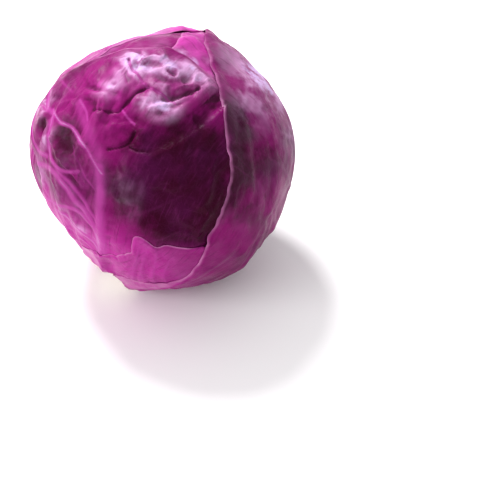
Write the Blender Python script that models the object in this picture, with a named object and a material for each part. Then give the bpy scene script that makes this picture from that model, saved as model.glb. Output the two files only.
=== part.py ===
"""A whole red cabbage head lying as picked, its cut stem low on one side, on a small flat spot.

Metres, +Z up. The origin is the middle of the flat spot that the head rests on. The head is
modelled upright around its growth centre, near the core's tip, and an empty there tilts it.

Every leaf is a closed shell around the growth centre. A direction from that centre has two angles
on a leaf: "along", from the stem up the midrib and over the crown, and "across", to either side of
the midrib. Each leaf lies on the ones inside it and sinks past their edges, so none can cross.
"""

import math

import bpy
import numpy as np

# Driving dimensions, in metres and degrees.
TILT = 35.0                   # the stem's swing away from straight down
LEAN = -142.0                 # the compass direction that the stem swings to
SPOT_DEPTH = 0.0026           # how far the resting spot is pressed in

BODY_RADIUS = 0.0710          # packed heart, at its widest
BODY_CROWN = 0.0710           # packed heart, from the growth centre up to its crown
BODY_STEM = 0.0555            # packed heart, from the growth centre down towards the stem
BODY_ROUNDNESS = 2.08         # 2 is an ellipse, more is squarer

STEM_RADIUS = 0.0170          # the stem, and the foot of the core that it runs into
STEM_STUB = 0.0005            # how far the stem's cut stands out past the last leaf's foot
CORE_TIP_RADIUS = 0.0042
CORE_TIP_DROP = 0.0020        # from the growth centre down to the core's tip
CORE_TAPER = 1.15             # 1 is a cone, more is fuller
CORE_SIDES = 28
CORE_RINGS = 11

BUD_RADIUS = 0.0060
BUD_LENGTH = 0.0120
BUD_SIDES = 14
BUD_RINGS = 8

SEAT = 0.0007                 # clearance between the core and a leaf's foot or the bud

HEART_LAYERS = 10             # each is a pair of leaves that face each other
HEART_START = 0.235           # inside of the first layer, as a share of the packed heart
HEART_GAP = 0.0020            # air between one layer and the next
HEART_TIP = 174.0             # how far along a heart leaf's tip reaches; 180 is the crown
HEART_HALF_WIDTH = 76.0
GOLDEN_ANGLE = 137.5          # from one layer's leaves to the next, around the core

WRAP_BLADE = 0.0012           # a wrapper leaf's blade
WRAP_RIB = 0.0014             # how far a wrapper leaf's midrib stands out at its foot
WRAP_CLEARANCE = 0.0018       # air between one wrapper leaf and the next
RIB_WIDTH = 15.0              # across, where a midrib's bulge has fallen to a third
FOOT_HALF_WIDTH = 9.0         # across, half of a leaf's foot at the core
FOOT_BLEND = 25.0             # along, how far the curve of a leaf's foot fades out
TIP_HALF_WIDTH = 12.0         # across, half of a leaf's blunt tip
DRAPE_START = 7.0             # how far past a leaf's edge the one above starts to sink
DRAPE = 17.0                  # and over how many more degrees it sinks

WRAP_SAG = 0.1326             # how deep a wrapper leaf's facets cut in, as a share of its air
HEART_SAG = 0.263             # and a heart leaf's

# Wrapper leaves from the innermost out: azimuth of the midrib, how far along the tip reaches
# (180 is the crown), and half of the width, in degrees.
WRAPPERS = [
    (60.0, 178.0, 66.0),
    (-60.0, 176.0, 66.0),
    (170.0, 182.0, 66.0),
    (100.0, 190.0, 67.0),
    (-92.0, 172.0, 67.0),
    (18.0, 145.0, 68.0),
    (82.0, 68.0, 42.0),
    (138.0, 184.0, 67.0),
    (-156.0, 166.0, 67.0),
]

PURPLE = (0.28, 0.02, 0.20)
CREAM = (0.86, 0.80, 0.72)


def clear_scene():
    for obj in list(bpy.data.objects):
        bpy.data.objects.remove(obj)


def make_material(name, colour, roughness):
    material = bpy.data.materials.new(name)
    material.use_nodes = True
    shader = material.node_tree.nodes["Principled BSDF"]
    shader.inputs["Base Color"].default_value = (*colour, 1.0)
    shader.inputs["Roughness"].default_value = roughness
    shader.inputs["Metallic"].default_value = 0.0
    return material


def smooth_step(x):
    x = np.clip(x, 0.0, 1.0)
    return x * x * (3.0 - 2.0 * x)


def body_radius(directions):
    """Outside of the packed heart, from the growth centre, for each unit direction."""
    level = np.hypot(directions[..., 0], directions[..., 1])
    rise = directions[..., 2]
    polar = np.where(rise > 0.0, BODY_CROWN, BODY_STEM)
    whole = (level / BODY_RADIUS) ** BODY_ROUNDNESS + (np.abs(rise) / polar) ** BODY_ROUNDNESS
    return whole ** (-1.0 / BODY_ROUNDNESS)


def core_radius(drop):
    """Radius of the core at a distance below the growth centre, from the tip down."""
    taper = np.clip((BODY_STEM - drop) / (BODY_STEM - CORE_TIP_DROP), 0.0, 1.0) ** CORE_TAPER
    return STEM_RADIUS + (CORE_TIP_RADIUS - STEM_RADIUS) * taper


class Leaf:
    """One leaf: where it lies on the head, its outline, and how thick a wrapper leaf is."""

    def __init__(self, name, azimuth, tip, half_width):
        self.name = name
        self.tip = tip
        self.half_width = half_width
        turn = math.radians(azimuth)
        self.out = np.array([math.cos(turn), math.sin(turn), 0.0])
        self.side = np.array([-math.sin(turn), math.cos(turn), 0.0])
        self.down = np.array([0.0, 0.0, -1.0])

    def direction(self, along, across):
        along, across = np.radians(along), np.radians(across)
        rib_line = (np.cos(along)[..., None] * self.down
                    + np.sin(along)[..., None] * self.out)
        return (np.cos(across)[..., None] * rib_line
                + np.sin(across)[..., None] * self.side)

    def angles(self, directions):
        across = np.arcsin(np.clip(directions @ self.side, -1.0, 1.0))
        along = np.arctan2(directions @ self.out, directions @ self.down)
        return np.degrees(along) % 360.0, np.degrees(across)

    def set_foot(self, foot):
        """Fits the outline, an ellipse in the two angles, between the foot and the tip."""
        foot_share = math.sqrt(1.0 - (FOOT_HALF_WIDTH / self.half_width) ** 2)
        tip_share = math.sqrt(1.0 - (TIP_HALF_WIDTH / self.half_width) ** 2)
        self.foot = foot
        self.half_length = (self.tip - foot) / (foot_share + tip_share)
        self.middle = foot + self.half_length * foot_share
        self.shares = (-foot_share, tip_share)

    def foot_line(self, across, inner_radius):
        """Where, along each line across, the leaf's inner side comes one seat clear of the core."""
        polar = np.full(across.shape, math.radians(15.0))
        for _ in range(30):
            along = np.degrees(np.arccos(np.clip(np.cos(polar) / np.cos(np.radians(across)), -1, 1)))
            radius = inner_radius(self.direction(along, across))
            reach = (core_radius(radius * np.cos(polar)) + SEAT) / radius
            polar = 0.5 * (polar + np.arcsin(np.clip(reach, 0.0, 0.98)))
        return along

    def seat_on_core(self, inner_radius):
        self.set_foot(float(self.foot_line(np.zeros(1), inner_radius)[0]))

    def thickness(self, along, across):
        rise = np.clip((self.tip - along) / (self.tip - self.foot), 0.0, 1.0)
        return WRAP_BLADE + WRAP_RIB * rise * np.exp(-((across / RIB_WIDTH) ** 2))

    def coverage(self, directions):
        """1 over the leaf and just past its edge, falling to 0 as the leaf above sinks."""
        along, across = self.angles(directions)
        past_stem = np.where(along > 270.0, 3.0 * (along - 360.0), 0.0)
        along = np.where(along > 270.0, self.foot, np.maximum(along, self.foot)) + past_stem
        from_middle = np.hypot(along - self.middle, across)
        reach = np.hypot((along - self.middle) / self.half_length, across / self.half_width)
        past_edge = from_middle * (1.0 - 1.0 / np.maximum(reach, 1.0))
        return 1.0 - smooth_step((past_edge - DRAPE_START) / DRAPE)


def stack_radius(directions, leaves):
    """Radius on which a leaf lies over the packed heart and over these wrapper leaves."""
    radius = body_radius(directions)
    for leaf in leaves:
        layer = WRAP_CLEARANCE + leaf.thickness(*leaf.angles(directions))
        radius = radius + leaf.coverage(directions) * layer
    return radius


class RestingSpot:
    """Presses the underside in, most at the surface, so that the head rests on a flat spot."""

    def __init__(self, leaves):
        tilt = math.radians(TILT)
        self.leaves = leaves
        self.down = np.array([-math.sin(tilt), 0.0, -math.cos(tilt)])
        surface = float(stack_radius(self.down, leaves)) - WRAP_CLEARANCE
        self.height = surface - SPOT_DEPTH

    def press(self, directions, radius):
        surface = stack_radius(directions, self.leaves) - WRAP_CLEARANCE
        fall = np.maximum(directions @ self.down, 0.05)
        excess = np.maximum(surface - self.height / fall, 0.0)
        return radius - excess * (radius / surface) ** 4


def leaf_grid(leaf, inner_radius, rows, columns):
    """The leaf's grid of angles. Its first row follows the round core, its last is the tip."""
    even = np.linspace(leaf.shares[0], leaf.shares[1], rows + 1)
    turns = np.linspace(math.asin(leaf.shares[0]), math.asin(leaf.shares[1]), rows + 1)
    share = 0.5 * even + 0.5 * np.sin(turns)
    width = leaf.half_width * np.sqrt(1.0 - share ** 2)
    across = width[:, None] * np.linspace(-1.0, 1.0, columns + 1)[None, :]
    along = (leaf.middle + leaf.half_length * share)[:, None] + 0.0 * across
    near_foot = smooth_step(1.0 - (along - leaf.foot) / FOOT_BLEND)
    foot_line = leaf.foot_line(across[0], inner_radius)
    return along + (foot_line - leaf.foot)[None, :] * near_foot, across


def add_solid(name, points, faces, material, parent):
    mesh = bpy.data.meshes.new(name)
    mesh.from_pydata([tuple(p) for p in points], [], faces)
    mesh.update()
    mesh.shade_smooth()
    mesh.set_sharp_from_angle(angle=math.radians(50.0))
    mesh.materials.append(material)
    obj = bpy.data.objects.new(name, mesh)
    bpy.context.scene.collection.objects.link(obj)
    obj.parent = parent
    return obj


def facet_size(sag, radius):
    """Degrees across a facet whose middle lies this far under a curve of this radius."""
    return math.degrees(2.0 * math.acos(1.0 - sag / radius))


def add_leaf(leaf, inner_radius, outer_radius, spot, facet, material, parent):
    rows = max(7, round((leaf.tip - leaf.foot) / facet))
    columns = round(2.0 * leaf.half_width / facet)
    along, across = leaf_grid(leaf, inner_radius, rows, columns)
    directions = leaf.direction(along, across)
    shells = [spot.press(directions, radius(directions))[..., None] * directions
              for radius in (inner_radius, outer_radius)]
    points = np.concatenate([shell.reshape(-1, 3) for shell in shells])
    count = (rows + 1) * (columns + 1)

    def at(row, column):
        return row * (columns + 1) + column

    faces = []
    for row in range(rows):
        for column in range(columns):
            quad = [at(row, column), at(row + 1, column),
                    at(row + 1, column + 1), at(row, column + 1)]
            faces.append(quad)
            faces.append([corner + count for corner in quad[::-1]])
    rim = [at(0, column) for column in range(columns)]
    rim += [at(row, columns) for row in range(rows)]
    rim += [at(rows, column) for column in range(columns, 0, -1)]
    rim += [at(row, 0) for row in range(rows, 0, -1)]
    for here, there in zip(rim, rim[1:] + rim[:1]):
        faces.append([here, there, there + count, here + count])
    return add_solid(leaf.name, points, faces, material, parent)


def add_turned(name, profile, sides, material, parent):
    """A solid turned about Z from (radius, height) points, bottom to top, ending on the axis."""
    turns = [2.0 * math.pi * side / sides for side in range(sides)]
    points = [(radius * math.cos(turn), radius * math.sin(turn), height)
              for radius, height in profile[:-1] for turn in turns]
    points.append((0.0, 0.0, profile[-1][1]))
    faces = [list(range(sides))[::-1]]
    for ring in range(len(profile) - 2):
        for side in range(sides):
            low, after = ring * sides, (side + 1) % sides
            faces.append([low + side, low + after, low + sides + after, low + sides + side])
    last = (len(profile) - 2) * sides
    for side in range(sides):
        faces.append([last + side, last + (side + 1) % sides, len(points) - 1])
    return add_solid(name, points, faces, material, parent)


def stem_drop(leaves):
    """From the growth centre down to the stem's cut, past the lowest foot of these leaves."""
    feet = []
    for index, leaf in enumerate(leaves):
        foot = np.array(leaf.foot)
        inside = stack_radius(leaf.direction(foot, 0.0 * foot), leaves[:index])
        feet.append((inside + WRAP_BLADE + WRAP_RIB) * math.cos(math.radians(leaf.foot)))
    return float(max(feet)) + STEM_STUB


def add_core(cut, material, parent):
    """The cut stem and the core that it runs on into, with a rounded tip."""
    dome = CORE_TIP_DROP + CORE_TIP_RADIUS
    drops = [cut] + [BODY_STEM + (dome - BODY_STEM) * ring / CORE_RINGS
                     for ring in range(CORE_RINGS + 1)]
    profile = [(float(core_radius(drop)), -drop) for drop in drops]
    dome_radius = profile[-1][0]
    for turn in (35.0, 65.0, 90.0):
        rise = CORE_TIP_RADIUS * math.sin(math.radians(turn))
        profile.append((dome_radius * math.cos(math.radians(turn)), rise - dome))
    return add_turned("core", profile, CORE_SIDES, material, parent)


def add_bud(material, parent):
    """The closed bud of undeveloped leaves on the core's tip."""
    turns = [math.pi * (0.12 + 0.88 * ring / BUD_RINGS) for ring in range(BUD_RINGS + 1)]
    foot, top = math.cos(turns[0]), math.cos(turns[-1])
    profile = [(BUD_RADIUS * math.sin(turn),
                SEAT - CORE_TIP_DROP + BUD_LENGTH * (foot - math.cos(turn)) / (foot - top))
               for turn in turns]
    return add_turned("heart_bud", profile, BUD_SIDES, material, parent)


def add_heart_leaves(spot, material, parent):
    """Heart leaves from the bud out, a facing pair in each layer, turned by the golden angle."""
    step = (1.0 - HEART_START) / HEART_LAYERS
    for layer in range(HEART_LAYERS):
        start = HEART_START + step * layer

        def inner_radius(directions, share=start):
            return body_radius(directions) * share

        def outer_radius(directions, share=start + step):
            return body_radius(directions) * share - HEART_GAP

        facet = facet_size(HEART_SAG * HEART_GAP, BODY_RADIUS * (start + step))
        for side in range(2):
            name = f"heart_leaf_{2 * (HEART_LAYERS - layer) - side:02d}"
            azimuth = GOLDEN_ANGLE * layer + 180.0 * side
            leaf = Leaf(name, azimuth, HEART_TIP, HEART_HALF_WIDTH)
            leaf.seat_on_core(inner_radius)
            add_leaf(leaf, inner_radius, outer_radius, spot, facet, material, parent)


def place_wrapper_leaves():
    """Wrapper leaves from the innermost out, each seated on the core over those inside it."""
    placed = []
    for index, (azimuth, tip, half_width) in enumerate(WRAPPERS):
        name = f"wrapper_leaf_{len(WRAPPERS) - index:02d}"
        leaf = Leaf(name, azimuth, tip, half_width)
        leaf.seat_on_core(lambda directions: stack_radius(directions, placed))
        placed.append(leaf)
    return placed


def add_wrapper_leaves(leaves, spot, material, parent):
    facet = facet_size(WRAP_SAG * WRAP_CLEARANCE, BODY_RADIUS)
    for index, leaf in enumerate(leaves):

        def inner_radius(directions, below=tuple(leaves[:index])):
            return stack_radius(directions, below)

        def outer_radius(directions, below=tuple(leaves[:index]), leaf=leaf):
            return stack_radius(directions, below) + leaf.thickness(*leaf.angles(directions))

        add_leaf(leaf, inner_radius, outer_radius, spot, facet, material, parent)


def main():
    clear_scene()
    leaf_material = make_material("red_cabbage_leaf", PURPLE, 0.38)
    core_material = make_material("core_flesh", CREAM, 0.55)
    wrappers = place_wrapper_leaves()
    spot = RestingSpot(wrappers)
    growth_centre = bpy.data.objects.new("growth_centre", None)
    bpy.context.scene.collection.objects.link(growth_centre)
    growth_centre.location = (0.0, 0.0, spot.height)
    growth_centre.rotation_euler = (0.0, -math.radians(TILT), math.radians(LEAN))
    add_core(stem_drop(wrappers), core_material, growth_centre)
    add_bud(leaf_material, growth_centre)
    add_heart_leaves(spot, leaf_material, growth_centre)
    add_wrapper_leaves(wrappers, spot, leaf_material, growth_centre)


main()
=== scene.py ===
"""The looks of the red cabbage head: finely veined, puckered and draped leaves round the frame.

Metres, +Z up. As in the frame's model, the head is worked out upright around its growth centre
and then tilted. A direction from that centre has two angles on a leaf: "along", from the stem up
the midrib and over the crown, and "across", to either side of the midrib. A place on the whole
head is given by its azimuth round the head's axis and its polar angle from the stem.
"""
import math

import bpy
import numpy as np
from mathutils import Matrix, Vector


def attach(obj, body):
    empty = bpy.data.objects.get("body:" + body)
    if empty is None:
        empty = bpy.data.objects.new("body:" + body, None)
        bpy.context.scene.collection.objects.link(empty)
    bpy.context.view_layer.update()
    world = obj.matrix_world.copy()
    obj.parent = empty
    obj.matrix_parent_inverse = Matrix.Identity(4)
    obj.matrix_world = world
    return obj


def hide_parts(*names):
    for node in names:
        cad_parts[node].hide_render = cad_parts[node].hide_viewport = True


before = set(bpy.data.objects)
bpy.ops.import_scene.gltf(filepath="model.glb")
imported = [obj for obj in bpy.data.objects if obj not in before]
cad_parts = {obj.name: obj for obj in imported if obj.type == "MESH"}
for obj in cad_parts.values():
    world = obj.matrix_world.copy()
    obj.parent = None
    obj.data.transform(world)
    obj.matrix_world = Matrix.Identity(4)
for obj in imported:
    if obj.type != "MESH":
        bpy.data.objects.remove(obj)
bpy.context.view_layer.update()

MM = 0.001

# The head's layout, as in the frame's model.
TILT = 35.0
LEAN = -142.0
SPOT_DEPTH = 2.6 * MM
BODY_RADIUS = 71.0 * MM
BODY_CROWN = 71.0 * MM
BODY_STEM = 55.5 * MM
BODY_ROUNDNESS = 2.08
STEM_RADIUS = 17.0 * MM
CORE_TIP_RADIUS = 4.2 * MM
CORE_TIP_DROP = 2.0 * MM
CORE_TAPER = 1.15
SEAT = 0.7 * MM
FRAME_BLADE = 1.2 * MM
FRAME_RIB = 1.4 * MM
FRAME_CLEARANCE = 1.8 * MM
FRAME_DRAPE_START = 7.0
FRAME_DRAPE = 17.0
RIB_WIDTH = 15.0
FOOT_HALF_WIDTH = 9.0
FOOT_BLEND = 25.0
TIP_HALF_WIDTH = 12.0
STEM_TRIM = 2.5 * MM          # the cut's raw edge wears back this far

# How the finished leaves lie.
BLADE = 1.0 * MM
EDGE_BLADE = 0.45 * MM
AIR = 0.2 * MM
EDGE_BED = 0.35 * MM          # how deep a leaf's thin edge beds into the one it lies on
EDGE_BED_FADE = 2.0           # degrees from the edge to where a leaf no longer beds in
EDGE_THIN = 2.5               # degrees over which a blade thins towards its edge
SHEATH = 15.0                 # across, half of a leaf's foot where it clasps the stem
DRAPE_START = 0.8             # degrees past an edge where the leaf above starts to sag
DRAPE = 6.0                   # degrees over which it sags down
PRESS_FADE = 9.0              # degrees inside an upper leaf's edge where a lower one lies smooth
SHOWN_LEAST = 0.002           # shares below this are taken as covered
BEHIND_STEM = 270.0           # an angle along past this lies on the far side of the stem
FOOT_START = 15.0             # degrees from the stem where the search for a foot line starts

# The heart's swell under all the leaves, and the leaves' relief on top of it.
SWELL = 1.5 * MM
SWELL_SIZE = 45 * MM
SINK = 1.2 * MM               # keeps the base far enough in for the relief
WARP = 8.0 * MM               # bends the relief's pattern
WARP_SIZE = 24 * MM
PUFF_SIZE = 15 * MM
FOLD_SIZE = 19 * MM
FINE_FOLD_SIZE = 8 * MM
FINE_FOLD_SHARE = 0.3
PATCH_SIZE = 40 * MM          # crumpled and calmer patches take turns at this size
LEAST_LIFT = 0.8 * MM         # air under the blade that creases can press out
LOOSE_START = 20.0            # degrees from the foot where the blade starts to pucker
LOOSE_RUN = 50.0
CURL_SIZE = 22 * MM
CURL_REACH = 5.0              # degrees from the edge that curl up
RELIEF_FADE = 8.0             # degrees inside the edge where the relief has its full height
RIDGE_FADE = 4.0              # the same for the veins
CAVITY_SIZE = 4.5 * MM        # half width of the window that hollows and crests show against
TONE_SIZE = 33 * MM           # patches of darker and lighter pigment

# How many waves the edge has all round, and how far they reach, as a share of the outline.
EDGE_WAVES = ((3, 0.018), (5, 0.014), (8, 0.009), (13, 0.005), (21, 0.0035), (34, 0.0025),
              (55, 0.0015))

# A plain leaf's tree of veins.
VEIN_REACH = 0.93             # share of the leaf that the veins reach
MIDRIB_POINTS = 14
MIDRIB_SWAY = 3.0             # degrees to either side
MIDRIB_WIDTHS = (5.0 * MM, 1.0 * MM)
SIDE_STARTS = (0.04, 0.12, 0.21, 0.31, 0.42, 0.54, 0.67, 0.80)         # shares of the midrib
SIDE_STAGGER = 0.045          # how much later the veins of one side leave the midrib
SIDE_LEAN = 52.0              # degrees between the last side veins and the midrib
SIDE_LEAN_FALL = 22.0         # how much closer to it the first ones run
SIDE_LEAST = 8.0              # degrees, the shortest side vein
SIDE_WIDTHS = (2.4 * MM, 0.6 * MM)
BRANCH_PLACES = (0.14, 0.27, 0.38, 0.5, 0.62, 0.74, 0.86)              # shares of the vein
BRANCH_WIDTHS = (0.9 * MM, 0.35 * MM)
BRANCH_STEPS = 6
VEIN_SEED = 200


def smooth_step(x):
    x = np.clip(x, 0.0, 1.0)
    return x * x * (3.0 - 2.0 * x)


def unit(vectors):
    return vectors / np.linalg.norm(vectors, axis=-1, keepdims=True)


def head_direction(azimuth, polar):
    """Unit direction from the growth centre, for degrees round the axis and from the stem."""
    azimuth, polar = np.radians(azimuth), np.radians(polar)
    return np.stack([np.sin(polar) * np.cos(azimuth), np.sin(polar) * np.sin(azimuth),
                     -np.cos(polar)], axis=-1)


def lattice(x, y, z, seed):
    """A repeatable random number from -1 to 1 for each whole-number place."""
    mixed = (x * 374761393 + y * 668265263 + z * 1440662683 + seed * 1274126177) & 0xFFFFFFFF
    mixed = ((mixed ^ (mixed >> 13)) * 1274126177) & 0xFFFFFFFF
    return ((mixed ^ (mixed >> 16)) & 0xFFFF) / 32767.5 - 1.0


def noise(points, size, seed, octaves=1):
    """Smooth noise from -1 to 1 at each point, with features of about this size."""
    total, share, weight = 0.0, 1.0, 0.0
    for octave in range(octaves):
        scaled = points / (size / 2 ** octave) + 37.0
        cell = np.floor(scaled).astype(np.int64)
        part = scaled - cell
        part = part * part * part * (part * (part * 6.0 - 15.0) + 10.0)
        value = 0.0
        for corner in range(8):
            step = np.array([corner & 1, corner >> 1 & 1, corner >> 2])
            blend = np.prod(np.where(step, part, 1.0 - part), axis=-1)
            place = cell + step
            value = value + blend * lattice(place[..., 0], place[..., 1], place[..., 2],
                                            seed + 101 * octave)
        total = total + share * value
        weight += share
        share *= 0.5
    return total / weight * 1.5


def body_radius(directions):
    """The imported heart's plain outline: a slightly square ellipsoid, shorter towards the stem."""
    level = np.hypot(directions[..., 0], directions[..., 1])
    rise = directions[..., 2]
    polar = np.where(rise > 0.0, BODY_CROWN, BODY_STEM)
    whole = (level / BODY_RADIUS) ** BODY_ROUNDNESS + (np.abs(rise) / polar) ** BODY_ROUNDNESS
    return whole ** (-1.0 / BODY_ROUNDNESS)


def core_radius(drop):
    """The core's radius this far below the growth centre."""
    taper = np.clip((BODY_STEM - drop) / (BODY_STEM - CORE_TIP_DROP), 0.0, 1.0) ** CORE_TAPER
    return STEM_RADIUS + (CORE_TIP_RADIUS - STEM_RADIUS) * taper


class Lines:
    """Ridges or creases drawn on the head: polylines with a half width and a height."""

    WIDTHS_SEEN = 4.0             # half widths from a line to where nothing is left of it

    def __init__(self):
        self.items = []

    def add(self, directions, widths, heights, strength=1.0):
        points = unit(np.asarray(directions, dtype=float))
        count = len(points)
        widths = np.linspace(*widths, count) if np.ndim(widths) else np.full(count, widths)
        heights = np.linspace(*heights, count) if np.ndim(heights) else np.full(count, heights)
        self.items.append((points, widths, heights, strength))

    def field(self, directions):
        """Height of the lines at each direction, and how strongly each place is on a line."""
        flat = directions.reshape(-1, 3)
        height = np.zeros(len(flat))
        mask = np.zeros(len(flat))
        for points, widths, heights, strength in self.items:
            centre = unit(points.mean(axis=0))
            reach = np.linalg.norm(points - centre, axis=1).max()
            reach = reach + self.WIDTHS_SEEN * widths.max() / BODY_RADIUS
            near = np.flatnonzero(np.linalg.norm(flat - centre, axis=1) < reach)
            if not len(near):
                continue
            place = flat[near]
            best = np.full(len(near), np.inf)
            wide, high = np.ones(len(near)), np.zeros(len(near))
            for start, end, w0, w1, h0, h1 in zip(points[:-1], points[1:], widths[:-1],
                                                  widths[1:], heights[:-1], heights[1:]):
                run = end - start
                share = np.clip((place - start) @ run / (run @ run), 0.0, 1.0)
                gap = np.linalg.norm(place - start - share[:, None] * run, axis=1)
                closer = gap < best
                best = np.where(closer, gap, best)
                wide = np.where(closer, w0 + (w1 - w0) * share, wide)
                high = np.where(closer, h0 + (h1 - h0) * share, high)
            bell = np.exp(-((best * BODY_RADIUS / wide) ** 2))
            height[near] = np.where(np.abs(high * bell) > np.abs(height[near]), high * bell,
                                    height[near])
            mask[near] = np.maximum(mask[near], strength * bell)
        return height.reshape(directions.shape[:-1]), mask.reshape(directions.shape[:-1])


def spots(directions, places):
    """Sum of soft round spots: azimuth, polar angle, radius in degrees and amount of each."""
    total = np.zeros(directions.shape[:-1])
    for azimuth, polar, radius, amount in places:
        near = np.clip(directions @ head_direction(azimuth, polar), -1.0, 1.0)
        total = total + amount * np.exp(-((np.degrees(np.arccos(near)) / radius) ** 2))
    return total


class Outline:
    """An ellipse in along and across, cut off at the leaf's foot and blunt at its tip."""

    def __init__(self, foot, tip, half_width, foot_half_width):
        foot_share = math.sqrt(1.0 - (foot_half_width / half_width) ** 2)
        tip_share = math.sqrt(1.0 - (TIP_HALF_WIDTH / half_width) ** 2)
        self.foot = foot
        self.half_width = half_width
        self.half_length = (tip - foot) / (foot_share + tip_share)
        self.middle = foot + self.half_length * foot_share
        self.shares = (-foot_share, tip_share)

    def inset(self, along, across, wavy=None):
        """Degrees that a place lies inside the outline; less than 0 is outside it."""
        behind = along > BEHIND_STEM
        past_stem = np.where(behind, 3.0 * (along - 360.0), 0.0)
        along = np.where(behind, self.foot, np.maximum(along, self.foot)) + past_stem
        share, width = (along - self.middle) / self.half_length, across / self.half_width
        edge = 1.0 if wavy is None else wavy(share, width)
        reach = np.maximum(np.hypot(share, width), 1e-6)
        return np.hypot(along - self.middle, across) * (edge / reach - 1.0)


class Leaf:
    """One wrapper leaf: its place, wavy outline, veins, puckers and creases."""

    def __init__(self, number, azimuth, tip, half_width, **looks):
        self.number = number
        self.tip = tip
        self.half_width = half_width
        self.spacing = looks.get("spacing", 1.7 * MM)           # between the mesh's points
        self.puff = looks.get("puff", 1.5 * MM)                 # height of the soft puckers
        self.wrinkle = looks.get("wrinkle", 0.5 * MM)           # height of the sharp folds
        self.curl = looks.get("curl", 0.2 * MM)                 # lift of the edge
        self.pigment_and_shade = looks.get("pigment_and_shade", 0.45)               # 0 is magenta, 1 is wine; spots on it also paint shade
        self.wax_and_sheen = looks.get("wax_and_sheen", 0.14)                       # strength of the lilac bloom: partly real wax, partly painted sheen
        self.pale_foot = looks.get("pale_foot", 45.0)           # degrees of pink by the foot, painted bounce light from the floor
        self.foot_fade = looks.get("foot_fade", self.pale_foot)
        self.vein_height = looks.get("vein_height", 0.8 * MM)
        self.vein_tint = looks.get("vein_tint", 1.0)
        self.margin = looks.get("margin", 1.3)                  # degrees of pale edge
        self.bulges = looks.get("bulges", ())                   # turn, spread, share of the reach
        self.dark_spots = looks.get("dark_spots", ())
        self.wax_and_sheen_spots = looks.get("wax_and_sheen_spots", ())
        self.crumple_spots = looks.get("crumple_spots", ())
        turn = math.radians(azimuth)
        self.out = np.array([math.cos(turn), math.sin(turn), 0.0])
        self.side = np.array([-math.sin(turn), math.cos(turn), 0.0])
        self.down = np.array([0.0, 0.0, -1.0])
        self.veins = Lines()
        self.creases = Lines()
        random = np.random.default_rng(100 + number)
        self.waves = [(count, size * looks.get("ragged", 1.0), random.uniform(0.0, 2.0 * math.pi))
                      for count, size in EDGE_WAVES]

    def direction(self, along, across):
        along, across = np.radians(along), np.radians(across)
        rib_line = np.cos(along)[..., None] * self.down + np.sin(along)[..., None] * self.out
        return np.cos(across)[..., None] * rib_line + np.sin(across)[..., None] * self.side

    def angles(self, directions):
        across = np.arcsin(np.clip(directions @ self.side, -1.0, 1.0))
        along = np.arctan2(directions @ self.out, directions @ self.down)
        return np.degrees(along) % 360.0, np.degrees(across)

    def set_foot(self, foot):
        self.foot = foot
        self.frame_outline = Outline(foot, self.tip, self.half_width, FOOT_HALF_WIDTH)
        self.outline = Outline(foot, self.tip, self.half_width, SHEATH)

    def foot_line(self, across, inner_radius):
        """Where, along each line across, the leaf's inner side comes one seat clear of the core."""
        polar = np.full(across.shape, math.radians(FOOT_START))
        for _ in range(30):       # more than enough steps to settle
            level = np.cos(polar) / np.cos(np.radians(across))
            along = np.degrees(np.arccos(np.clip(level, -1, 1)))
            radius = inner_radius(self.direction(along, across))
            reach = (core_radius(radius * np.cos(polar)) + SEAT) / radius
            polar = 0.5 * (polar + np.arcsin(np.clip(reach, 0.0, 0.98)))
        return along

    def edge(self, share, width):
        """Where the wavy edge lies at this turn, as a share of the plain outline."""
        turn = np.arctan2(width, share)
        wave = sum(size * np.sin(count * turn + start) for count, size, start in self.waves)
        for middle, spread, amount in self.bulges:
            apart = np.degrees(np.angle(np.exp(1j * (turn - math.radians(middle)))))
            wave = wave + amount * np.exp(-((apart / spread) ** 2))
        return 1.0 + wave * smooth_step((share + 1.0) / 0.25)

    def inset(self, directions):
        return self.outline.inset(*self.angles(directions), self.edge)

    def frame_layer(self, directions):
        """What the leaf adds to the frame's stack: its air, blade and rib, and their coverage."""
        along, across = self.angles(directions)
        rise = np.clip((self.tip - along) / (self.tip - self.foot), 0.0, 1.0)
        rib = FRAME_RIB * rise * np.exp(-((across / RIB_WIDTH) ** 2))
        past = -self.frame_outline.inset(along, across)
        cover = 1.0 - smooth_step((past - FRAME_DRAPE_START) / FRAME_DRAPE)
        return cover, FRAME_CLEARANCE + FRAME_BLADE + rib

    def draw(self, lines, places, widths, heights, strength=1.0):
        """A smooth line through these azimuths and polar angles."""
        azimuth, polar = np.array(places, dtype=float).T
        ticks = np.linspace(0, len(places) - 1, 6 * len(places))
        path = head_direction(smooth_curve(azimuth, ticks), smooth_curve(polar, ticks))
        lines.add(path, widths, heights, strength)
        return path

    def add_vein_tree(self):
        """A midrib, side veins off it in turn, and branches off each of those."""
        random = np.random.default_rng(VEIN_SEED + self.number)
        length = self.tip - self.foot
        along = np.linspace(self.foot - 2.0, self.foot + VEIN_REACH * length, MIDRIB_POINTS)
        sway = MIDRIB_SWAY * np.sin(np.linspace(0.0, 2.6, MIDRIB_POINTS) + random.uniform(0, 6))
        across = sway - sway[0]
        high = self.vein_height
        self.veins.add(self.direction(along, across), MIDRIB_WIDTHS,
                       (2.8 * high, 0.4 * high), 0.9)
        for index, start in enumerate(np.repeat(SIDE_STARTS, 2)):
            side = 1.0 if index % 2 else -1.0
            begin = self.foot + length * (start + SIDE_STAGGER * (index % 2)
                                          + random.uniform(-0.02, 0.02))
            self.add_side_vein(begin, np.interp(begin, along, across), side, start, random)

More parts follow.
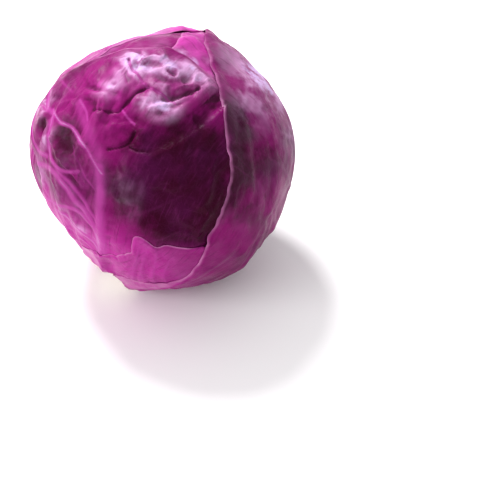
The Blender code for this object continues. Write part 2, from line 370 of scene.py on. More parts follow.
    def add_side_vein(self, begin, root, side, start, random):
        """A side vein that bends towards the tip and zigzags a little at its branches."""
        ticks = np.linspace(0.0, 1.0, 19)
        outline = self.outline
        reach = VEIN_REACH * self.half_width * math.sqrt(max(0.06, 1.0 - (
            (begin + 20.0 - outline.middle) / outline.half_length) ** 2))
        run = max(reach - side * root, SIDE_LEAST) * random.uniform(0.85, 1.0)
        lean = SIDE_LEAN - SIDE_LEAN_FALL * (1.0 - start) + random.uniform(-6.0, 6.0)
        climb = run / math.tan(math.radians(lean))
        along = begin + climb * (0.45 * ticks + 0.55 * ticks ** 2.2)
        zigzag = 0.7 * (np.abs((ticks * 6.0) % 2.0 - 1.0) - 0.5) * ticks
        wobble = 2.2 * np.sin(5.0 * ticks + random.uniform(0.0, 6.0)) * ticks
        across = root + side * run * ticks ** 0.9 + wobble + zigzag
        size = 1.0 - 0.45 * start
        high = self.vein_height * size
        path = self.direction(along, across)
        first, last = SIDE_WIDTHS
        self.veins.add(path, (first * size, last), (1.3 * high, 0.15 * high), 0.6)
        self.add_branches(path, 0.32 * high, 11.0, random)

    def add_branches(self, path, high, reach, random, strength=0.35):
        """Fine veins, about reach degrees long, that leave this one to both sides and fade out."""
        for place in BRANCH_PLACES:
            for side in (-1.0, 1.0):
                at = (place + random.uniform(-0.05, 0.05)) * (len(path) - 2)
                start, after = path[int(at)], path[int(at) + 1]
                heading = unit(after - start)
                sideways = np.cross(start, heading)
                turn = side * (math.radians(random.uniform(35.0, 65.0))
                               + np.linspace(0.0, random.uniform(-0.6, 0.4), BRANCH_STEPS + 1))
                length = reach * random.uniform(0.6, 1.2) * (1.2 - 0.6 * place)
                stride = math.radians(length / BRANCH_STEPS)
                points = [start]
                for angle in turn[1:]:
                    step = math.cos(angle) * heading + math.sin(angle) * sideways
                    points.append(points[-1] + stride * step)
                self.veins.add(points, BRANCH_WIDTHS, (high, 0.15 * high), strength)

    def relief(self, directions):
        """The blade's lift off what it lies on, the veins' height on it, and the vein mask."""
        ridge, mask = self.veins.field(directions)
        crease, _ = self.creases.field(directions)
        points = directions * BODY_RADIUS
        seed = 17 * self.number
        warp = np.stack([noise(points, WARP_SIZE, seed + shift, 2) for shift in (1, 2, 3)], axis=-1)
        bent = points + WARP * warp
        along, _ = self.angles(directions)
        loose = smooth_step((along - self.foot - LOOSE_START) / LOOSE_RUN)
        puff = 0.5 + 0.6 * noise(bent, PUFF_SIZE, seed + 5, 2)
        fold = 1.0 - np.abs(noise(bent, FOLD_SIZE, seed + 9, 3))
        fine_fold = 1.0 - np.abs(noise(bent, FINE_FOLD_SIZE, seed + 15, 2))
        crumple = np.clip(fold, 0.0, 1.0) ** 4 + FINE_FOLD_SHARE * fine_fold ** 3
        patch = smooth_step(0.5 + 0.9 * noise(points, PATCH_SIZE, seed + 12))
        wrinkle = self.wrinkle * (0.5 + patch + spots(directions, self.crumple_spots))
        lift = (0.35 + 0.65 * loose) * self.puff * puff + wrinkle * loose * crumple
        lift = lift * (1.0 - 0.6 * np.clip(mask, 0.0, 1.0)) + LEAST_LIFT
        lift = np.maximum(lift + crease, 0.0)
        inset = np.maximum(self.inset(directions), 0.0)
        curl = np.maximum(noise(points, CURL_SIZE, seed + 21, 2) + 0.1, 0.0) * self.curl
        inner = smooth_step(inset / RELIEF_FADE)
        lift = lift * inner + curl * (1.0 - smooth_step(inset / CURL_REACH))
        return lift, ridge * smooth_step(inset / RIDGE_FADE), self.vein_tint * mask


def smooth_curve(values, ticks):
    """A Catmull-Rom curve through these values, read at these places along it."""
    padded = np.concatenate([[2 * values[0] - values[1]], values, [2 * values[-1] - values[-2]]])
    index = np.minimum(ticks.astype(int), len(values) - 2)
    t = ticks - index
    a, b, c, d = (padded[index + shift] for shift in range(4))
    return 0.5 * (2 * b + (c - a) * t + (2 * a - 5 * b + 4 * c - d) * t ** 2
                  + (3 * b - a - 3 * c + d) * t ** 3)


class Head:
    """The leaves in order, from the innermost out, and the surfaces that they share."""

    def __init__(self, leaves):
        tilt, lean = math.radians(TILT), math.radians(LEAN)
        self.leaves = []
        self.down = np.array([-math.sin(tilt), 0.0, -math.cos(tilt)])
        for leaf in leaves:
            foot = leaf.foot_line(np.zeros(1), self.frame_surface)
            leaf.set_foot(float(foot[0]))
            self.leaves.append(leaf)
        surface = float(self.frame_surface(self.down)) - FRAME_CLEARANCE
        self.height = surface - SPOT_DEPTH
        turn_y = np.array([[math.cos(tilt), 0.0, -math.sin(tilt)], [0.0, 1.0, 0.0],
                           [math.sin(tilt), 0.0, math.cos(tilt)]])
        turn_z = np.array([[math.cos(lean), -math.sin(lean), 0.0],
                           [math.sin(lean), math.cos(lean), 0.0], [0.0, 0.0, 1.0]])
        self.turn = turn_z @ turn_y

    def frame_surface(self, directions):
        """The frame's outer surface, one clearance proud."""
        radius = body_radius(directions)
        for leaf in self.leaves:
            cover, layer = leaf.frame_layer(directions)
            radius = radius + cover * layer
        return radius

    def base(self, directions):
        """Under all the leaves, so far out that the outermost one ends up where the frame's is."""
        radius = body_radius(directions) + SWELL * noise(directions * BODY_RADIUS, SWELL_SIZE, 3)
        for leaf in self.leaves:
            cover, layer = leaf.frame_layer(directions)
            radius = radius + cover * (layer - BLADE - AIR)
        return radius - FRAME_CLEARANCE - SINK

    def shown(self, index, directions):
        """1 where no leaf further out covers this one, falling to 0 just inside their edges."""
        share = np.ones(directions.shape[:-1])
        for leaf in self.leaves[index + 1:]:
            share = share * (1.0 - smooth_step(leaf.inset(directions) / PRESS_FADE))
        return share

    def relief(self, index, directions):
        """This leaf's relief where it shows; pressed smooth where other leaves cover it."""
        flat = directions.reshape(-1, 3)
        share = self.shown(index, flat)
        result = [np.zeros(len(flat)) for _ in range(3)]
        live = np.flatnonzero(share > SHOWN_LEAST)
        if len(live):
            for target, values in zip(result, self.leaves[index].relief(flat[live])):
                target[live] = values * share[live]
        return [values.reshape(directions.shape[:-1]) for values in result]

    def support(self, index, directions):
        """What this leaf lies on: the base, the leaves inside it and their relief."""
        flat = directions.reshape(-1, 3)
        radius = self.base(flat)
        for inner, leaf in enumerate(self.leaves[:index]):
            cover = 1.0 - smooth_step((-leaf.inset(flat) - DRAPE_START) / DRAPE)
            radius = radius + cover * (BLADE + AIR)
            live = np.flatnonzero(cover > SHOWN_LEAST)
            lift, ridge, _ = self.relief(inner, flat[live])
            radius[live] += cover[live] * (lift + ridge)
        return radius.reshape(directions.shape[:-1])

    def place(self, directions, radius):
        """World points, with the underside pressed flat where the head rests."""
        fall = np.maximum(directions @ self.down, 0.05)
        surface = self.frame_surface(directions) - FRAME_CLEARANCE
        excess = np.maximum(surface - self.height / fall, 0.0)
        radius = radius - excess * (radius / surface) ** 4
        points = (directions * radius[..., None]) @ self.turn.T + [0.0, 0.0, self.height]
        points[..., 2] = np.maximum(points[..., 2], 0.0)
        return points


def make_mesh(name, points, faces, attributes, material):
    mesh = bpy.data.meshes.new(name)
    mesh.from_pydata(points.tolist(), [], faces)
    for key, values in attributes.items():
        layer = mesh.attributes.new(key, "FLOAT", "POINT")
        layer.data.foreach_set("value", np.asarray(values, dtype=np.float32))
    mesh.update()
    mesh.shade_smooth()
    mesh.materials.append(material)
    piece = bpy.data.objects.new(name, mesh)
    bpy.context.scene.collection.objects.link(piece)
    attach(piece, "root")
    return piece


def box_blur(values, size):
    """Mean over a square window, for a grid of values."""
    padded = np.pad(values, size, mode="edge")
    for axis in range(2):
        total = np.cumsum(padded, axis=axis)
        total = np.insert(total, 0, 0.0, axis=axis)
        width = 2 * size + 1
        upper = np.take(total, range(width, total.shape[axis]), axis=axis)
        lower = np.take(total, range(0, total.shape[axis] - width), axis=axis)
        padded = (upper - lower) / width
    return padded


def make_leaf(head, index, material):
    """A closed shell: a grid for each side of the blade, joined round the rim."""
    leaf = head.leaves[index]
    degree = math.radians(1.0) * BODY_RADIUS * 1.1
    outline = leaf.outline
    rows = round((leaf.tip - leaf.foot) * degree / leaf.spacing)
    columns = round(2.0 * leaf.half_width * degree / leaf.spacing)
    even = np.linspace(*outline.shares, rows + 1)
    turns = np.linspace(*(math.asin(end) for end in outline.shares), rows + 1)
    share = (0.6 * even + 0.4 * np.sin(turns))[:, None]
    width = np.sqrt(1.0 - share ** 2) * np.linspace(-1.0, 1.0, columns + 1)[None, :]
    share = share + 0.0 * width
    stretch = 1.0 + (leaf.edge(share, width) - 1.0) * np.hypot(share, width)
    across = outline.half_width * width * stretch
    along = outline.middle + outline.half_length * share * stretch
    near_foot = smooth_step(1.0 - (along - leaf.foot) / FOOT_BLEND)
    foot_line = leaf.foot_line(across[0], lambda d: head.support(index, d))
    along = along + (foot_line - along[0])[None, :] * near_foot
    directions = leaf.direction(along, across)

    under = head.support(index, directions)
    lift, ridge, vein = head.relief(index, directions)
    inset = np.maximum(leaf.inset(directions), 0.0)
    blade = EDGE_BLADE + (BLADE - EDGE_BLADE) * smooth_step(inset / EDGE_THIN)
    inner = under + lift - EDGE_BED * (1.0 - smooth_step(inset / EDGE_BED_FADE))
    outer = inner + blade + ridge
    fine = lift + ridge
    cavity = (fine - box_blur(fine, max(2, round(CAVITY_SIZE / leaf.spacing)))) / MM
    points = np.concatenate([head.place(directions, radius).reshape(-1, 3)
                             for radius in (inner, outer)])
    size = (rows + 1) * (columns + 1)
    grid = np.arange(size).reshape(rows + 1, columns + 1)
    quads = np.stack([grid[:-1, :-1], grid[1:, :-1], grid[1:, 1:], grid[:-1, 1:]], axis=-1)
    quads = quads.reshape(-1, 4)
    rim = np.concatenate([grid[0, :-1], grid[:-1, -1], grid[-1, :0:-1], grid[:0:-1, 0]])
    after = np.roll(rim, -1)
    walls = np.stack([rim, after, after + size, rim + size], axis=-1)
    faces = np.concatenate([quads, quads[:, ::-1] + size, walls]).tolist()

    edge = 1.0 - smooth_step(inset / leaf.margin)
    # Paler pink towards each leaf's foot: painted bounce light from the floor below.
    foot = smooth_step((leaf.pale_foot - along + leaf.foot) / leaf.foot_fade)
    tone = leaf.pigment_and_shade + 0.3 * noise(directions * BODY_RADIUS, TONE_SIZE, 7 * leaf.number + 2, 3)
    # Dark spots add painted shade as well as pigment: on the front leaf, shade in its creases and a
    # painted shadow on its right.
    tone = tone + spots(directions, leaf.dark_spots)
    # Real wax bloom plus painted sheen; high values also drive painted glints.
    wax_and_sheen = leaf.wax_and_sheen + spots(directions, leaf.wax_and_sheen_spots)
    two = {key: np.tile(values.ravel(), 2) for key, values in (
        ("vein", vein), ("cavity", cavity), ("edge", edge), ("foot", foot), ("pigment_and_shade", tone),
        ("wax_and_sheen", wax_and_sheen), ("along", along), ("across", across))}
    name = f"outer_leaf_{leaf.number:02d}"
    piece = make_mesh(name, points, faces, two, material)
    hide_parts(f"wrapper_leaf_{leaf.number:02d}")
    return piece


# Materials ------------------------------------------------------------------------------------

class Nodes:
    """Short calls for building a material's node tree; noise and cell scales are per metre."""

    def __init__(self, name):
        self.material = bpy.data.materials.new(name)
        self.material.use_nodes = True
        self.tree = self.material.node_tree
        self.shader = self.tree.nodes["Principled BSDF"]

    def link(self, value, socket):
        if isinstance(value, bpy.types.NodeSocket):
            self.tree.links.new(value, socket)
        elif isinstance(value, tuple) and len(value) == 3 and socket.type == "RGBA":
            socket.default_value = (*value, 1.0)
        else:
            socket.default_value = value

    def attribute(self, name):
        node = self.tree.nodes.new("ShaderNodeAttribute")
        node.attribute_name = name
        return node.outputs["Fac"]

    def position(self):
        return self.tree.nodes.new("ShaderNodeTexCoord").outputs["Object"]

    def noise(self, position, scale, detail=3.0, roughness=0.5):
        node = self.tree.nodes.new("ShaderNodeTexNoise")
        self.link(position, node.inputs["Vector"])
        node.inputs["Scale"].default_value = scale
        node.inputs["Detail"].default_value = detail
        node.inputs["Roughness"].default_value = roughness
        return node.outputs["Fac"]

    def noise_colour(self, position, scale):
        node = self.tree.nodes.new("ShaderNodeTexNoise")
        self.link(position, node.inputs["Vector"])
        node.inputs["Scale"].default_value = scale
        return node.outputs["Color"]

    def cells(self, position, scale):
        node = self.tree.nodes.new("ShaderNodeTexVoronoi")
        node.feature = "DISTANCE_TO_EDGE"
        self.link(position, node.inputs["Vector"])
        node.inputs["Scale"].default_value = scale
        return node.outputs["Distance"]

    def math(self, kind, first, second=0.0, third=0.0):
        node = self.tree.nodes.new("ShaderNodeMath")
        node.operation = kind
        for value, socket in zip((first, second, third), node.inputs):
            self.link(value, socket)
        return node.outputs["Value"]

    def vector(self, kind, first, second, scale=1.0):
        node = self.tree.nodes.new("ShaderNodeVectorMath")
        node.operation = kind
        self.link(first, node.inputs[0])
        if second is not None:
            self.link(second, node.inputs[1])
        if kind == "SCALE":
            node.inputs["Scale"].default_value = scale
        return node.outputs["Vector"]

    def combine(self, x, y, z):
        node = self.tree.nodes.new("ShaderNodeCombineXYZ")
        for value, socket in zip((x, y, z), node.inputs):
            self.link(value, socket)
        return node.outputs["Vector"]

    def spread(self, value, low, high, out_low=0.0, out_high=1.0):
        node = self.tree.nodes.new("ShaderNodeMapRange")
        node.interpolation_type = "SMOOTHSTEP"
        for key, number in (("From Min", low), ("From Max", high), ("To Min", out_low),
                            ("To Max", out_high)):
            node.inputs[key].default_value = number
        self.link(value, node.inputs["Value"])
        return node.outputs["Result"]

    def mix(self, factor, first, second):
        node = self.tree.nodes.new("ShaderNodeMix")
        node.data_type = "RGBA"
        self.link(factor, node.inputs["Factor"])
        self.link(first, node.inputs["A"])
        self.link(second, node.inputs["B"])
        return node.outputs["Result"]

    def bump(self, height, distance, strength=1.0):
        node = self.tree.nodes.new("ShaderNodeBump")
        self.link(height, node.inputs["Height"])
        node.inputs["Distance"].default_value = distance
        node.inputs["Strength"].default_value = strength
        return node.outputs["Normal"]

    def finish(self, **inputs):
        for key, value in inputs.items():
            self.link(value, self.shader.inputs[key.replace("_", " ")])
        return self.material


MAGENTA = (0.195, 0.0028, 0.105)
PINK = (0.40, 0.020, 0.25)
WINE = (0.030, 0.0002, 0.010)
VIOLET = (0.085, 0.004, 0.065)
LILAC = (0.60, 0.33, 0.58)
GLINT = (0.58, 0.40, 0.70)
ROSE = (0.60, 0.055, 0.40)
VEIN_PINK = (0.36, 0.040, 0.25)
VEIN_PALE = (0.40, 0.17, 0.37)
EDGE_PALE = (0.46, 0.15, 0.34)


def leaf_material():
    """Waxy purple cabbage leaf: pink ribs, pale veins and edges, painted shade darkening the
    pockets to wine, a lilac bloom that is partly real wax and partly painted sheen, and painted
    glints.
    """
    n = Nodes("red_cabbage_leaf")
    place = n.position()
    bend = n.vector("SCALE", n.noise_colour(place, 90.0), None, 0.010)
    bent = n.vector("ADD", place, bend)
    net = n.spread(n.cells(bent, 210.0), 0.0, 0.07, 1.0, 0.0)
    fine_net = n.spread(n.cells(bent, 560.0), 0.0, 0.10, 1.0, 0.0)
    mottle = n.noise(place, 60.0, 4.0, 0.6)
    # Pigment and painted shade: higher values go towards wine.
    tone = n.math("ADD", n.attribute("pigment_and_shade"), n.spread(mottle, 0.3, 0.7, -0.2, 0.2))
    colour = n.mix(n.spread(tone, 0.1, 1.0), MAGENTA, WINE)
    colour = n.mix(n.spread(tone, 0.1, -0.8, 0.0, 0.9), colour, ROSE)
    colour = n.mix(n.spread(n.noise(place, 35.0), 0.45, 0.75, 0.0, 0.45), colour, VIOLET)
    # Painted bounce light: pinker towards the foot, near the floor.
    foot = n.attribute("foot")
    colour = n.mix(n.math("MULTIPLY", foot, 0.8), colour, PINK)
    # Painted shade: the relief's hollows are darkened towards wine.
    pocket_shade = n.spread(n.attribute("cavity"), -0.05, -1.0)
    colour = n.mix(n.math("MULTIPLY", pocket_shade, 0.75), colour, WINE)
    patches = n.spread(n.noise(place, 62.0, 4.0, 0.55), 0.40, 0.58, 0.15, 1.0)
    crest = n.spread(n.attribute("cavity"), -0.5, 0.6, 0.25, 1.0)
    wax_and_sheen = n.attribute("wax_and_sheen")
    # The lilac bloom on the crests is partly the leaf's real wax and partly painted sheen, where
    # light would reflect.
    bloom_and_sheen = n.math("MULTIPLY", n.math("MULTIPLY", patches, crest), wax_and_sheen)
    colour = n.mix(n.math("MINIMUM", n.math("MAXIMUM", bloom_and_sheen, 0.0), 0.75), colour, LILAC)
    # Painted glints: lavender-white highlights on the waxiest crumples.
    facets = n.spread(n.noise(place, 105.0, 3.0, 0.55), 0.42, 0.58)
    glint = n.math("MULTIPLY", n.spread(wax_and_sheen, 0.95, 1.30, 0.0, 0.80), facets)
    colour = n.mix(glint, colour, GLINT)
    across = n.math("MULTIPLY", n.attribute("across"), 0.9)
    grain_place = n.combine(across, n.math("MULTIPLY", n.attribute("along"), 0.10), 0.0)
    fibre = n.noise(grain_place, 1.0, 2.5, 0.5)
    colour = n.mix(n.spread(fibre, 0.52, 0.75, 0.0, 0.07), colour, VEIN_PINK)
    colour = n.mix(n.spread(fibre, 0.48, 0.28, 0.0, 0.30), colour, WINE)
    lines = n.math("MAXIMUM", n.math("MULTIPLY", net, 0.03), n.math("MULTIPLY", fine_net, 0.02))
    colour = n.mix(lines, colour, VEIN_PINK)
    streaks = n.spread(n.noise(place, 95.0, 2.0), 0.3, 0.7, 0.82, 1.08)
    vein = n.math("MULTIPLY", n.attribute("vein"), streaks)
    colour = n.mix(n.spread(vein, 0.1, 1.0, 0.0, 0.7), colour, VEIN_PINK)
    colour = n.mix(n.spread(vein, 1.0, 1.6, 0.0, 0.8), colour, VEIN_PALE)
    frayed = n.spread(n.noise(place, 120.0, 3.0), 0.3, 0.7, 0.35, 0.9)
    colour = n.mix(n.math("MULTIPLY", n.attribute("edge"), frayed), colour, EDGE_PALE)
    grain = n.noise(place, 1400.0, 2.0)
    height = n.math("ADD", n.math("MULTIPLY", net, 0.6), n.math("MULTIPLY", fine_net, 0.25))
    height = n.math("ADD", height, n.math("MULTIPLY", grain, 0.35))
    rough = n.spread(n.noise(place, 70.0, 4.0), 0.3, 0.7, 0.30, 0.46)
    return n.finish(Base_Color=colour, Roughness=rough, Normal=n.bump(height, 0.00018, 0.5),
                    Coat_Weight=0.02, Coat_Roughness=0.2, Specular_IOR_Level=0.035)


def heart_material():
    """Smooth, paler inner leaves with a faint net of veins."""
    n = Nodes("heart_leaf")
    place = n.position()
    tone = n.spread(n.noise(place, 55.0, 4.0), 0.3, 0.7)
    colour = n.mix(tone, (0.30, 0.03, 0.20), (0.48, 0.14, 0.38))
    net = n.spread(n.cells(place, 160.0), 0.0, 0.08, 1.0, 0.0)
    colour = n.mix(n.math("MULTIPLY", net, 0.4), colour, LILAC)
    return n.finish(Base_Color=colour, Roughness=0.42, Normal=n.bump(net, 0.0002))


def core_material():
    """Pale cut stem: fibres in rings, a drier brownish rim."""
    n = Nodes("core_flesh")
    place = n.position()
    fibre = n.noise(place, 700.0, 3.0, 0.7)
    colour = n.mix(n.spread(fibre, 0.3, 0.7), (0.80, 0.72, 0.56), (0.90, 0.85, 0.74))
    rim = n.attribute("rim")
    colour = n.mix(n.math("MULTIPLY", rim, 0.6), colour, (0.56, 0.40, 0.34))
    stain = n.spread(n.noise(place, 160.0, 4.0), 0.55, 0.8, 0.0, 0.5)
    colour = n.mix(stain, colour, (0.60, 0.44, 0.30))
    return n.finish(Base_Color=colour, Roughness=0.55, Normal=n.bump(fibre, 0.0003))


STEM_SIDES = 96
STEM_DISH = 0.9 * MM          # how far the cut face is sunk in the middle
STEM_GRAIN = 0.25 * MM
STEM_RIND = 0.78              # share of the radius where the drier rind starts
STEM_EDGE = 8.0               # millimetres below the cut that have close rings


def make_stem(head, material):
    """The core with its finely cut face: slightly hollow, with a raised, ragged rind."""
    cut = max(leaf_drop(head, index) for index in range(len(head.leaves))) - STEM_TRIM
    turns = 2.0 * math.pi * np.arange(STEM_SIDES) / STEM_SIDES
    circle = np.stack([np.cos(turns), np.sin(turns), 0.0 * turns], axis=-1)
    level = 0.0 * turns

    def cut_height(points, share):
        dish = STEM_DISH * (1.0 - share ** 2) + STEM_GRAIN * noise(points, 3.5 * MM, 5, 2)
        return -cut + dish

    rings = []
    for share in (0.12, 0.25, 0.4, 0.55, 0.68, 0.8, 0.9, 0.97):
        ring = STEM_RADIUS * share * circle
        rings.append((ring, cut_height(ring, share), share))
    drops = np.concatenate([cut - np.linspace(0.4, STEM_EDGE, 8) * MM,
                            np.linspace(cut - 10 * MM, CORE_TIP_DROP + CORE_TIP_RADIUS, 24)])
    for drop in drops:
        rough = STEM_GRAIN * noise(circle * STEM_RADIUS + [0, 0, drop], 4.0 * MM, 6, 2)
        radius = float(core_radius(drop)) + np.minimum(rough, 0.1 * MM)
        rings.append((circle * radius[:, None], -drop + level, 1.0))
    rings.append((circle * 0.5 * CORE_TIP_RADIUS, -CORE_TIP_DROP - 0.6 * MM + level, 0.5))

    middle = np.zeros((1, 3))
    middle[:, 2] = cut_height(middle, 0.0)
    points, rim = [middle], [np.zeros(1)]
    for ring, height, share in rings:
        points.append(np.stack([ring[:, 0], ring[:, 1], height], axis=-1))
        rim.append(np.full(STEM_SIDES, smooth_step((share - STEM_RIND) / 0.2)))
    world = np.concatenate(points) @ head.turn.T + [0.0, 0.0, head.height]
    grid = 1 + np.arange(len(rings) * STEM_SIDES).reshape(len(rings), STEM_SIDES)
    after = np.roll(grid, -1, axis=1)
    faces = np.stack([grid[:-1], after[:-1], after[1:], grid[1:]], axis=-1).reshape(-1, 4).tolist()
    faces.append(grid[-1].tolist())
    faces += [[0, int(a), int(b)] for a, b in zip(after[0], grid[0])]
    piece = make_mesh("cut_stem", world, faces, {"rim": np.concatenate(rim)}, material)
    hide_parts("core")
    return piece


def leaf_drop(head, index):
    """How far below the growth centre this leaf's foot reaches in the frame's model."""
    leaf = head.leaves[index]
    direction = leaf.direction(np.array(leaf.foot), np.array(0.0))
    radius = body_radius(direction)
    for below in head.leaves[:index]:
        cover, layer = below.frame_layer(direction)
        radius = radius + cover * layer
    return float(radius + FRAME_BLADE + FRAME_RIB) * math.cos(math.radians(leaf.foot))


# The leaves, from the innermost out ---------------------------------------------------------------

CROWN_FLUSH = ((0, 170, 50, -0.8),)      # brighter blades towards the crown
FRONT_LEAF = 4


def wrapper_leaves():
    """Each leaf's number, azimuth, tip (its angle along), half width and own looks."""
    return [
        Leaf(9, 60.0, 178.0, 66.0),
        Leaf(8, -60.0, 176.0, 66.0),
        Leaf(7, 170.0, 182.0, 66.0, spacing=1.4 * MM, dark_spots=CROWN_FLUSH,
             wax_and_sheen_spots=((30, 165, 25, 0.5),)),
        Leaf(6, 100.0, 190.0, 67.0, spacing=1.4 * MM, dark_spots=CROWN_FLUSH,
             wax_and_sheen_spots=((21, 148, 6, 0.9), (34, 150, 6, 0.9))),
        Leaf(5, -92.0, 172.0, 67.0, spacing=1.2 * MM, pigment_and_shade=0.3, dark_spots=CROWN_FLUSH,
             wax_and_sheen_spots=((-21, 145, 14, 0.4), (-28, 150, 10, 0.25))),
        Leaf(4, 18.0, 145.0, 68.0, spacing=0.85 * MM, puff=2.8 * MM, wrinkle=1.5 * MM,
             curl=0.5 * MM, margin=2.2, pigment_and_shade=0.4, wax_and_sheen=0.04, pale_foot=60.0, foot_fade=28.0,
             bulges=((20.0, 40.0, 0.13), (-38.0, 25.0, -0.08), (-112.0, 30.0, -0.42)),
             # Painted shade: the large spot on the right and the one above the torn edge are shadow
             # as well as dark pigment; the small ones darken creases.
             dark_spots=((56, 98, 24, 0.75), (2, 88, 7, 0.3), (-6, 93, 7, 0.35),
                         (-20, 92, 4, 0.7), (-24, 104, 5, 0.4), (12, 104, 12, -0.3),
                         (0, 122, 14, -0.3), (38, 58, 12, -0.5), (60, 84, 14, 0.6),
                         (50, 112, 12, 0.2), (12, 130, 16, -0.4),
                         (60, 127, 5, -0.5), (42, 130, 7, -0.3),
                         (31, 84, 5, 0.45), (34, 76, 4, 0.3)),
             # Painted highlights: strong spots that give glints and pale sheen on the crumpled
             # crests and streaks.
             wax_and_sheen_spots=((5, 133, 6, 1.25), (20, 139, 8, 1.3), (40, 143, 6, 1.3),
                        (25, 122, 4, 1.0), (33, 124, 5, 1.3), (4, 120, 4, 1.1),
                        (-3, 136, 4, 1.0), (36, 86, 12, 0.22),
                        (-28, 98, 5, 1.1), (-12, 88, 4, 0.9), (4, 59, 4, 0.6),
                        (10, 55, 4, 0.7), (18, 53, 4, 0.7), (27, 52, 4, 0.4),
                        (2, 73, 5, 0.5), (-22, 68, 8, 0.8), (12, 66, 5, 0.4),
                        (-40, 95, 9, 0.5), (55, 97, 24, -0.3)),
             crumple_spots=((14, 131, 20, 0.7), (38, 137, 10, 0.6), (0, 112, 12, 0.5))),
        Leaf(3, 82.0, 68.0, 42.0, spacing=0.85 * MM, puff=0.8 * MM, wrinkle=0.2 * MM,
             curl=0.4 * MM, ragged=2.0, pigment_and_shade=0.0, pale_foot=75.0, margin=0.8, wax_and_sheen=0.08,
             bulges=((-30.0, 17.0, 0.12), (5.0, 30.0, 0.2), (-85.0, 30.0, -0.25),
                     (-44.0, 8.0, 0.17), (-33.0, 3.0, -0.05), (-10.0, 6.0, 0.10),
                     (0.0, 5.0, -0.05), (13.0, 4.0, 0.05))),
        Leaf(2, 138.0, 184.0, 67.0, spacing=1.1 * MM, puff=0.9 * MM, wrinkle=0.3 * MM,
             pigment_and_shade=0.36, wax_and_sheen=0.05, curl=0.6 * MM, margin=1.6,
             bulges=((-48.0, 14.0, 0.09), (-84.0, 18.0, -0.04)),
             dark_spots=((66, 135, 7, 0.5), (73, 127, 8, 0.5), (76, 114, 9, 0.5),
                         (74, 100, 14, 0.35), (93, 122, 9, 0.4), (90, 145, 18, -0.4),
                         (85, 80, 14, -0.3)),
             # Painted sheen: a pale rim along the top right, where back light catches the leaf.
             wax_and_sheen_spots=((134, 146, 20, 1.0), (104, 158, 14, 0.8), (80, 142, 9, 0.5)),
             vein_tint=0.45),
        Leaf(1, -156.0, 166.0, 67.0, spacing=1.3 * MM, puff=1.0 * MM, wrinkle=0.8 * MM,
             margin=3.0, dark_spots=((0, 175, 40, -0.3),)),
    ]


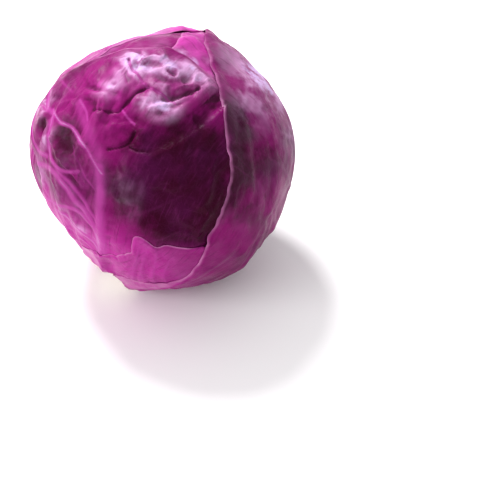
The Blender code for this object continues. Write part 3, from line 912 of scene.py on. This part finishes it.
def draw_front_leaf(leaf):
    """The leaf that faces the camera: a bent midrib, bold veins on its left, and its creases."""
    veins, creases = leaf.veins, leaf.creases
    random = np.random.default_rng(VEIN_SEED + leaf.number)
    for places, widths, heights, strength in (
            ([(31, 16), (31, 34), (31, 49), (27, 65), (22, 82), (19, 90)],
             (4.4, 3.4), (2.3, 1.5), 1.0),
            ([(20, 86), (16, 94), (9, 100), (3, 103), (-2, 106), (-5, 108)],
             (4.8, 3.4), (1.1, 0.5), 0.62),
            ([(-6, 109), (0, 107), (4, 104)], (1.0, 0.7), (0.7, 0.4), 1.2),
            ([(21, 88), (16, 91), (11, 94), (5, 96), (-2, 98), (-9, 97), (-14, 98), (-19, 99)],
             (1.2, 1.0), (1.3, 1.0), 1.5),
            ([(-16, 98), (-22, 98), (-27, 100), (-32, 103), (-36, 108)],
             (1.8, 1.2), (1.0, 0.8), 1.3),
            ([(-36, 108), (-30, 110), (-24, 110), (-14, 110)], (1.2, 1.0), (0.8, 0.4), 0.6),
            ([(11, 84), (5, 81), (-1, 80), (-8, 82), (-11, 87), (-13, 92), (-16, 98)],
             (0.9, 1.9), (0.6, 1.3), 1.3),
            ([(29, 56), (25, 65), (19, 69), (13, 74), (7, 77), (0, 79), (-8, 82)],
             (1.8, 1.3), (0.9, 0.7), 0.9),
            ([(30, 50), (25, 61), (19, 66), (12, 70), (6, 74), (-2, 77), (-12, 76), (-22, 73)],
             (2.6, 1.8), (1.2, 0.8), 1.2),
            ([(29, 46), (25, 59), (19, 63), (13, 65), (7, 64), (-6, 59), (-18, 56)],
             (1.8, 1.2), (1.0, 0.7), 1.2),
            ([(29, 40), (26, 49), (18, 52), (10, 54), (2, 57), (-8, 54)],
             (2.2, 1.2), (1.2, 0.7), 1.3),
            ([(30, 34), (22, 43), (10, 46), (-4, 46)], (1.6, 0.9), (0.9, 0.5), 1.1),
            ([(-11, 81), (-21, 80), (-27, 84), (-33, 88), (-36, 93), (-30, 97), (-22, 97)],
             (1.5, 1.0), (1.0, 0.7), 1.2),
            ([(22, 78), (15, 83), (9, 88), (3, 92)], (1.0, 0.6), (0.5, 0.3), 0.6),
            ([(30, 56), (38, 62), (50, 70), (60, 80)], (2.2, 1.0), (0.9, 0.3), 0.3),
            ([(26, 68), (34, 74), (46, 84), (56, 96)], (1.8, 0.9), (0.7, 0.3), 0.25),
            ([(4, 102), (6, 110), (10, 120), (14, 132), (18, 142)], (1.3, 0.6), (0.5, 0.3), 0.3),
            ([(0, 134), (4, 132), (12, 130), (19, 128), (28, 128), (36, 127)],
             (0.7, 0.45), (0.7, 0.5), 1.5),
            ([(24, 112), (20, 113), (15, 115)], (0.7, 0.5), (0.6, 0.4), 1.2)):
        path = leaf.draw(veins, places, [width * MM for width in widths],
                         [height * MM for height in heights], strength)
        leaf.add_branches(path, 0.2 * MM, 8.0, random, 0.45 * min(strength, 0.5))
    for places, widths, heights in (
            ([(60, 139), (54, 132), (49, 125), (44, 118), (40, 112), (36, 105)],
             (4.2, 2.8), (-2.4, -1.2)),
            ([(56, 146), (50, 138), (44, 131), (38, 123), (33, 116), (29, 109)],
             (3.8, 2.4), (2.2, 1.0)),
            ([(64, 133), (57, 124), (51, 116), (45, 108)], (5.0, 3.6), (1.3, 0.5)),
            ([(20, 128), (17, 124), (16, 120), (15, 116), (14, 113), (7, 110), (4, 109)],
             (0.9, 0.8), (-2.2, -1.0)),
            ([(24, 125), (20, 121), (19, 117), (18, 113)], (2.2, 1.4), (1.4, 0.8)),
            ([(26, 109), (26, 105), (25, 103), (23, 101), (19, 98)], (0.8, 0.7), (-2.0, -1.0)),
            ([(27, 103), (30, 103), (36, 105)], (0.8, 1.0), (-1.4, -1.4)),
            ([(42, 132), (34, 126), (27, 120)], (1.6, 1.2), (1.8, 0.9)),
            ([(44, 137), (37, 131), (30, 126)], (1.4, 1.2), (-1.2, -0.8)),
            ([(-6, 92), (-2, 93), (3, 90)], (3.4, 2.6), (-1.6, -1.0)),
            ([(-24, 104), (-20, 105)], (3.0, 2.6), (-1.2, -1.0)),
            ([(-20, 93), (-18, 90)], (1.6, 1.4), (-1.4, -1.2)),
            ([(2, 127), (10, 124), (12, 118)], (2.0, 1.4), (1.0, 0.6))):
        leaf.draw(creases, places, [width * MM for width in widths],
                  [height * MM for height in heights])


FLOOR_HALF = 3.0
WORLD_LIGHT = 0.82
SENSOR = 36.0                 # millimetres


def make_floor():
    n = Nodes("white_floor")
    n.finish(Base_Color=(0.93, 0.92, 0.93), Roughness=0.6)
    mesh = bpy.data.meshes.new("floor")
    corners = [(x * FLOOR_HALF, y * FLOOR_HALF, 0) for x, y in ((-1, -1), (1, -1), (1, 1), (-1, 1))]
    mesh.from_pydata(corners, [], [(0, 1, 2, 3)])
    mesh.materials.append(n.material)
    floor = bpy.data.objects.new("floor", mesh)
    bpy.context.scene.collection.objects.link(floor)


def make_light(name, place, aim, size, power):
    lamp = bpy.data.lights.new(name, "AREA")
    lamp.shape = "DISK"
    lamp.size = size
    lamp.energy = power
    light = bpy.data.objects.new(name, lamp)
    light.location = place
    light.rotation_mode = "QUATERNION"
    light.rotation_quaternion = (Vector(aim) - Vector(place)).to_track_quat("-Z", "Y")
    bpy.context.scene.collection.objects.link(light)


def make_lights(centre):
    """Even light all round, with a soft lamp above and behind and a weaker one at the left."""
    world = bpy.data.worlds.new("studio")
    world.use_nodes = True
    background = world.node_tree.nodes["Background"]
    background.inputs["Color"].default_value = (1.0, 1.0, 1.0, 1.0)
    background.inputs["Strength"].default_value = WORLD_LIGHT
    bpy.context.scene.world = world
    make_light("top", (-0.35, 0.75, 1.25), centre, 0.5, 30.0)
    make_light("left", (-1.3, -0.5, 0.6), centre, 0.7, 12.0)
    bpy.context.scene.view_settings.view_transform = "Standard"


def make_camera(centre):
    """Looks down at the head as it lies in the upper left of a square frame."""
    elevation, distance, view_width = 36.0, 0.74, 0.312
    across, below = 0.054, 0.056      # how far the frame's middle lies right of and below the head
    tilt = math.radians(elevation)
    right, up = Vector((1.0, 0.0, 0.0)), Vector((0.0, math.sin(tilt), math.cos(tilt)))
    back = Vector((0.0, -math.cos(tilt), math.sin(tilt)))
    eye = Vector(centre) + distance * back
    aim = Vector(centre) + across * right - below * up
    camera = bpy.data.objects.new("camera", bpy.data.cameras.new("camera"))
    camera.location = eye
    camera.rotation_mode = "QUATERNION"
    camera.rotation_quaternion = (aim - eye).to_track_quat("-Z", "Y")
    camera.data.sensor_width = SENSOR
    camera.data.lens = SENSOR * (aim - eye).length / view_width
    bpy.context.scene.collection.objects.link(camera)
    bpy.context.scene.camera = camera


def main():
    head = Head(wrapper_leaves())
    centre = (0.0, 0.0, head.height)
    make_camera(centre)
    make_lights(centre)
    make_floor()
    skin = leaf_material()
    for leaf in head.leaves:
        if leaf.number == FRONT_LEAF:
            draw_front_leaf(leaf)
        else:
            leaf.add_vein_tree()
    for index in range(len(head.leaves)):
        make_leaf(head, index, skin)
    make_stem(head, core_material())
    heart = heart_material()
    for name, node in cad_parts.items():
        if name.startswith("heart"):
            for slot in node.material_slots:
                slot.material = heart


main()
